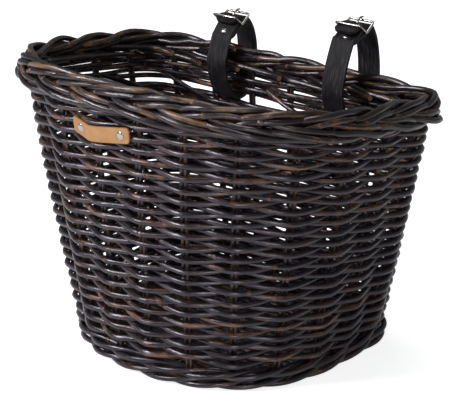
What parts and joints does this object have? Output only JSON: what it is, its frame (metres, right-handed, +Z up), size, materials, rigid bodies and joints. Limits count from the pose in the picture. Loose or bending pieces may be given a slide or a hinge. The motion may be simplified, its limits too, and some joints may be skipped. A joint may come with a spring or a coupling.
{
  "type": "bicycle basket",
  "caption": "Woven round-cane handlebar basket with a bowed front, straight back, plaited border, buckled leather straps at the back and a riveted leather tag on the front.",
  "frame": {"origin": "on the standing surface under the basket, below the widest part of the rim", "axes": "+X along the handlebar, +Y towards the back with the straps, -Y towards the bowed front with the tag, +Z up"},
  "size_m": [0.3861, 0.2804, 0.3047],
  "materials": {
    "cane": "dark stained and lacquered round cane",
    "border_cane": "dark stained and lacquered cane bundles",
    "stake_cane": "dark stained thin cane with brown wear",
    "base_cane": "dark stained woven cane",
    "black_leather": "matt black grain",
    "tan_leather": "smooth tan",
    "nickel": "nickel plated"
  },
  "bodies": {
    "basket": {"base_mat": "base_cane", "stake_01": "stake_cane", "stake_02": "stake_cane", "stake_03": "stake_cane", "stake_04": "stake_cane", "stake_05": "stake_cane", "stake_06": "stake_cane", "stake_07": "stake_cane", "stake_08": "stake_cane", "stake_09": "stake_cane", "stake_10": "stake_cane", "stake_11": "stake_cane", "stake_12": "stake_cane", "stake_13": "stake_cane", "stake_14": "stake_cane", "stake_15": "stake_cane", "stake_16": "stake_cane", "stake_17": "stake_cane", "stake_18": "stake_cane", "stake_19": "stake_cane", "stake_20": "stake_cane", "stake_21": "stake_cane", "foot_wale_1": "cane", "foot_wale_2": "cane", "foot_wale_3": "cane", "weaver_1": "cane", "weaver_2": "cane", "weaver_3": "cane", "weaver_4": "cane", "weaver_5": "cane", "weaver_6": "cane", "upper_weaver_1": "cane", "border_strand_1": "border_cane", "border_strand_2": "border_cane", "border_strand_3": "border_cane", "leather_tag": "tan_leather", "tag_rivet_1": "nickel", "tag_rivet_2": "nickel"},
    "strap_left": {"strap_left": "black_leather", "strap_rivet_left": "nickel"},
    "buckle_left": {"buckle_frame_left": "nickel"},
    "prong_left": {"buckle_prong_left": "nickel"},
    "strap_right": {"strap_right": "black_leather", "strap_rivet_right": "nickel"},
    "buckle_right": {"buckle_frame_right": "nickel"},
    "prong_right": {"buckle_prong_right": "nickel"}
  },
  "joints": [
    {"name": "strap_left_swing", "type": "hinge", "parent": "basket", "child": "strap_left", "pos_m": [-0.07592, 0.09897, 0.23832], "axis": [1, 0, 0], "range_deg": [-8, 8]},
    {"name": "buckle_left_rock", "type": "hinge", "parent": "strap_left", "child": "buckle_left", "pos_m": [-0.07592, 0.09897, 0.27692], "axis": [1, 0, 0], "range_deg": [-3, 3]},
    {"name": "prong_left_lift", "type": "hinge", "parent": "buckle_left", "child": "prong_left", "pos_m": [-0.07592, 0.09897, 0.27692], "axis": [1, 0, 0], "range_deg": [0, 30]},
    {"name": "strap_right_swing", "type": "hinge", "parent": "basket", "child": "strap_right", "pos_m": [0.07592, 0.09897, 0.23832], "axis": [1, 0, 0], "range_deg": [-8, 8]},
    {"name": "buckle_right_rock", "type": "hinge", "parent": "strap_right", "child": "buckle_right", "pos_m": [0.07592, 0.09897, 0.29302], "axis": [1, 0, 0], "range_deg": [-3, 3]},
    {"name": "prong_right_lift", "type": "hinge", "parent": "buckle_right", "child": "prong_right", "pos_m": [0.07592, 0.09897, 0.29302], "axis": [1, 0, 0], "range_deg": [0, 30]}
  ]
}
